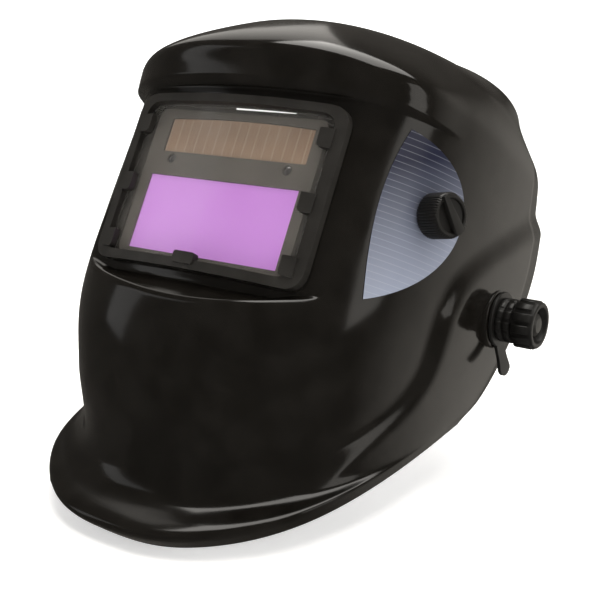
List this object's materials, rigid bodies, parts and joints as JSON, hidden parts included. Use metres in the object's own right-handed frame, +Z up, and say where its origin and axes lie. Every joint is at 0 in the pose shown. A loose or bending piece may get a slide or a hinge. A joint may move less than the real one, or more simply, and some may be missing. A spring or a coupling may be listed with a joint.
{
  "type": "welding helmet",
  "caption": "Auto-darkening welding helmet: gloss shell with recessed window, side shade dial, tilting ratchet head gear, flared chin lip.",
  "frame": {"origin": "middle of the footprint, on the floor the helmet stands on", "axes": "-Y is the side the window faces, +Z is up, +X is the wearer's left (the side with the shade dial). The helmet is stored tipped back on its chin lip and ratchet knob."},
  "size_m": [0.291, 0.3438, 0.252],
  "materials": {
    "shell_gloss": "warm gloss black moulding with a soft sheen",
    "frame_matt": "fine matt black moulding",
    "cover_clear": "clear polycarbonate cover",
    "case_grey": "dark grey cartridge case",
    "filter_violet": "violet auto-darkening filter glass",
    "solar_brown": "brown thin-film solar strip with fine dividing lines",
    "sensor_dark": "dark glossy sensor window",
    "dial_grey": "dark grey adjusting dial",
    "knob_matt": "satin black moulded knob",
    "steel": "bright zinc-plated steel",
    "cord_black": "black cord sheath",
    "print_blue": "printed film, plain blue that pales downwards, with fine slanting hairlines",
    "washer_rubber": "black friction rubber",
    "strap_black": "black flexible strap plastic",
    "pad_foam": "black fabric-faced foam",
    "gear_white": "natural white acetal"
  },
  "bodies": {
    "shell_body": {"shell": "shell_gloss", "window_frame": "frame_matt", "outer_cover_lens": "cover_clear", "cartridge_case": "case_grey", "filter_glass": "filter_violet", "solar_cell": "solar_brown", "light_sensor_left": "sensor_dark", "light_sensor_right": "sensor_dark", "inner_cover_lens": "cover_clear", "cartridge_retainer": "frame_matt", "shade_dial_nut": "steel", "shade_sensor_can": "steel", "dial_cord": "cord_black", "side_print_left": "print_blue", "side_print_right": "print_blue"},
    "shade_dial_body": {"shade_dial": "knob_matt", "shade_dial_shaft": "steel"},
    "sensitivity_body": {"sensitivity_dial": "dial_grey"},
    "delay_body": {"delay_dial": "dial_grey"},
    "battery_tray_body": {"battery_tray": "frame_matt"},
    "stop_left_body": {"stop_plate_left": "knob_matt"},
    "stop_right_body": {"stop_plate_right": "knob_matt"},
    "head_gear": {"front_band": "strap_black", "brow_pad": "pad_foam", "crown_strap_left": "strap_black", "crown_strap_right": "strap_black", "crown_stud": "strap_black", "side_bracket_left": "strap_black", "side_bracket_right": "strap_black", "pivot_bolt_left": "steel", "pivot_bolt_right": "steel", "friction_washer_left": "washer_rubber", "friction_washer_right": "washer_rubber", "pivot_collar_left": "knob_matt", "pivot_collar_right": "knob_matt", "ratchet_housing": "strap_black", "nape_pad": "pad_foam"},
    "knob_left_body": {"tension_knob_left": "knob_matt"},
    "knob_right_body": {"tension_knob_right": "knob_matt"},
    "ratchet_body": {"ratchet_knob": "knob_matt", "ratchet_pinion": "gear_white"},
    "strap_left_body": {"rear_strap_left": "strap_black"},
    "strap_right_body": {"rear_strap_right": "strap_black"}
  },
  "joints": [
    {"name": "head_gear_tilt", "type": "hinge", "parent": "shell_body", "child": "head_gear", "pos_m": [0, 0.02288, 0.09], "axis": [1, 0, 0], "range_deg": [-8, 50]},
    {"name": "shade_dial_turn", "type": "hinge", "parent": "shell_body", "child": "shade_dial_body", "pos_m": [0.10448, -0.03149, 0.15534], "axis": [0.9291, -0.3182, 0.1886], "range_deg": [-130, 130]},
    {"name": "sensitivity_turn", "type": "hinge", "parent": "shell_body", "child": "sensitivity_body", "pos_m": [0.027, -0.0615, 0.18659], "axis": [0, -0.8712, 0.4909], "range_deg": [-130, 130]},
    {"name": "delay_turn", "type": "hinge", "parent": "shell_body", "child": "delay_body", "pos_m": [-0.027, -0.0615, 0.18659], "axis": [0, -0.8712, 0.4909], "range_deg": [-130, 130]},
    {"name": "battery_tray_slide", "type": "slide", "parent": "shell_body", "child": "battery_tray_body", "axis": [-1, 0, 0], "range_m": [0, 0.014]},
    {"name": "stop_left_turn", "type": "hinge", "parent": "shell_body", "child": "stop_left_body", "pos_m": [0, 0.02288, 0.09], "axis": [1, 0, 0], "range_deg": [-20, 20]},
    {"name": "stop_right_turn", "type": "hinge", "parent": "shell_body", "child": "stop_right_body", "pos_m": [0, 0.02288, 0.09], "axis": [1, 0, 0], "range_deg": [-20, 20]},
    {"name": "knob_left_turn", "type": "hinge", "parent": "head_gear", "child": "knob_left_body", "pos_m": [0, 0.02288, 0.09], "axis": [1, 0, 0], "range_deg": [0, 360]},
    {"name": "knob_right_turn", "type": "hinge", "parent": "head_gear", "child": "knob_right_body", "pos_m": [0, 0.02288, 0.09], "axis": [-1, 0, 0], "range_deg": [0, 360]},
    {"name": "ratchet_turn", "type": "hinge", "parent": "head_gear", "child": "ratchet_body", "pos_m": [0, 0.14535, 0.02542], "axis": [0, 0.9426, -0.3338], "range_deg": [-55, 115]},
    {"name": "strap_left_slide", "type": "slide", "parent": "head_gear", "child": "strap_left_body", "axis": [-1, 0, 0], "range_m": [-0.0039, 0.0081]},
    {"name": "strap_right_slide", "type": "slide", "parent": "head_gear", "child": "strap_right_body", "axis": [1, 0, 0], "range_m": [-0.0039, 0.0081]}
  ],
  "couplings": [
    {"joint": "strap_left_slide", "follows": "ratchet_turn", "m_per_rad": 0.004},
    {"joint": "strap_right_slide", "follows": "ratchet_turn", "m_per_rad": 0.004}
  ]
}
